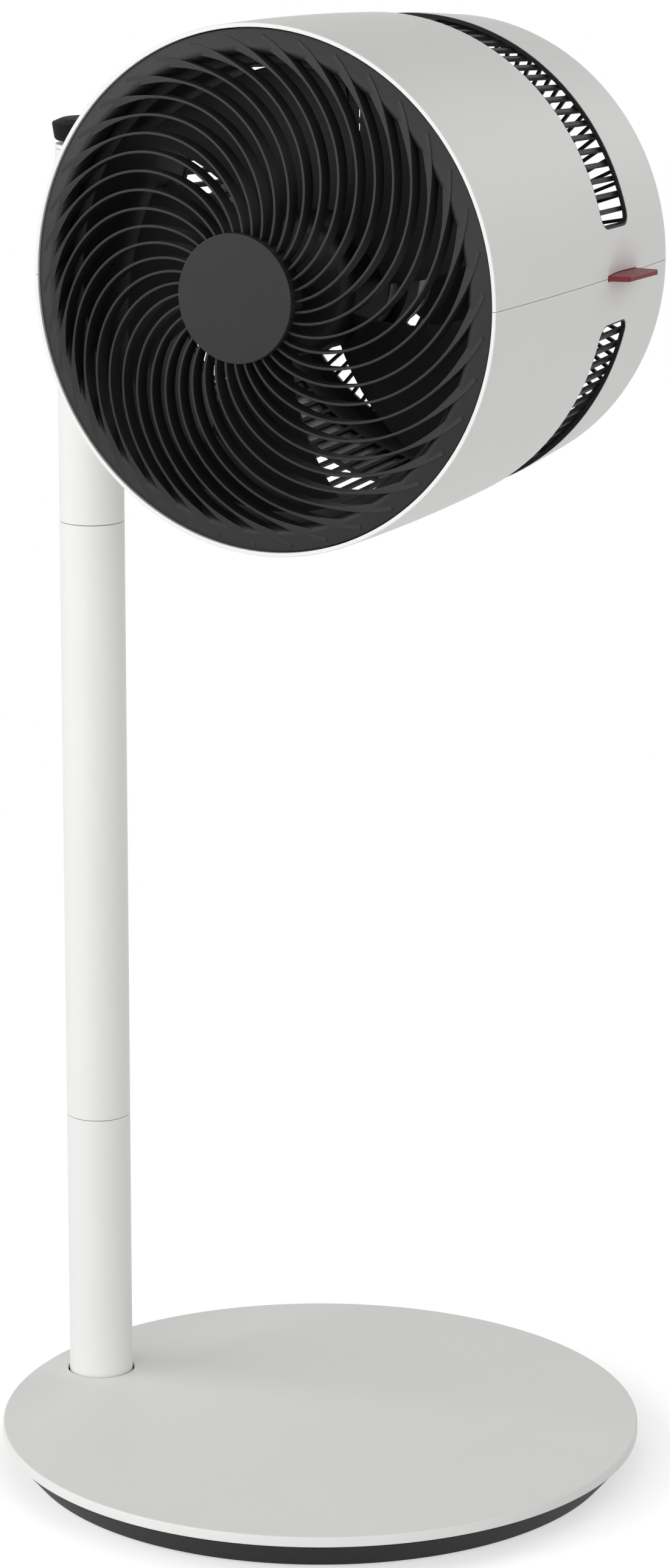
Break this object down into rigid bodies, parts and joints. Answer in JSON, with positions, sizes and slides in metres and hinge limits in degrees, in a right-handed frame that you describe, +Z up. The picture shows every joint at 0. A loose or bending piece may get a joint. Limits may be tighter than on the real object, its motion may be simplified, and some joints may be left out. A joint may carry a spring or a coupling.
{
  "type": "air circulator fan",
  "caption": "Floor-standing air circulator fan: a drum-shaped head with a domed spiral grille tilts beside an offset round pole on a heavy disc base.",
  "frame": {"origin": "centre of the base, on the surface that the fan stands on", "axes": "+Z up; the fan blows towards -Y; the pole stands on the -X side and the drum hangs on its +X side"},
  "size_m": [0.328, 0.328, 0.7436],
  "materials": {
    "white_shell": "fine satin moulding, white",
    "black_plastic": "satin moulding, near black",
    "grey_plastic": "satin acetal, grey",
    "red_plastic": "semi-gloss moulding, crimson",
    "steel": "zinc plated",
    "cast_weight": "as cast",
    "zinc": "die cast, bare",
    "motor_can": "drawn steel",
    "rubber": "matt",
    "felt": "pressed felt",
    "circuit_board": "solder resist"
  },
  "bodies": {
    "stand": {"base_cover": "white_shell", "base_tray": "black_plastic", "base_weight": "cast_weight", "foot_ring": "rubber", "power_inlet": "black_plastic", "control_board": "circuit_board", "pole_socket": "zinc", "base_screw_1": "steel", "base_screw_2": "steel", "base_screw_3": "steel", "pole_bolt": "steel", "pole_lower": "white_shell", "pole_joint_sleeve": "steel", "pole_middle": "white_shell", "swivel_bush": "grey_plastic"},
    "column": {"swivel_spigot": "steel", "pole_upper": "white_shell", "pole_cap": "white_shell", "encoder_body": "black_plastic", "pivot_block": "zinc", "pivot_axle": "steel", "pivot_collar": "black_plastic", "friction_washer": "steel", "tilt_nut": "steel"},
    "knob_rotor": {"encoder_rotor": "grey_plastic"},
    "knob": {"knob_shaft": "steel", "knob": "black_plastic"},
    "head": {"shell_upper": "white_shell", "shell_lower": "white_shell", "front_grille": "black_plastic", "grille_cap": "black_plastic", "duct_ring": "black_plastic", "tilt_bracket": "zinc", "front_bearing": "steel", "rear_bearing": "steel", "motor_housing": "motor_can", "motor_cover": "black_plastic", "motor_spider": "black_plastic", "rear_cage": "black_plastic", "tray_guide": "black_plastic"},
    "impeller": {"impeller": "black_plastic", "impeller_nut": "steel", "motor_shaft": "steel"},
    "fragrance_tray": {"fragrance_tray": "red_plastic", "fragrance_pad": "felt"}
  },
  "joints": [
    {"name": "swivel", "type": "hinge", "parent": "stand", "child": "column", "pos_m": [-0.1345, 0, 0.479], "axis": [0, 0, 1], "range_deg": [-45, 45]},
    {"name": "tilt", "type": "hinge", "parent": "column", "child": "head", "pos_m": [-0.11, 0, 0.6162], "axis": [-1, 0, 0], "range_deg": [-15, 90]},
    {"name": "impeller_spin", "type": "hinge", "parent": "head", "child": "impeller", "pos_m": [0.01259, 0, 0.6162], "axis": [0, -1, 0], "continuous": true},
    {"name": "knob_turn", "type": "hinge", "parent": "column", "child": "knob_rotor", "pos_m": [-0.1345, 0, 0.67], "axis": [0, 0, 1], "continuous": true},
    {"name": "knob_press", "type": "slide", "parent": "knob_rotor", "child": "knob", "axis": [0, 0, -1], "range_m": [0, 0.0012], "stiffness_N_per_m": 900, "springref_m": -0.0015},
    {"name": "tray_slide", "type": "slide", "parent": "head", "child": "fragrance_tray", "axis": [1, 0, 0], "range_m": [0, 0.024]}
  ]
}
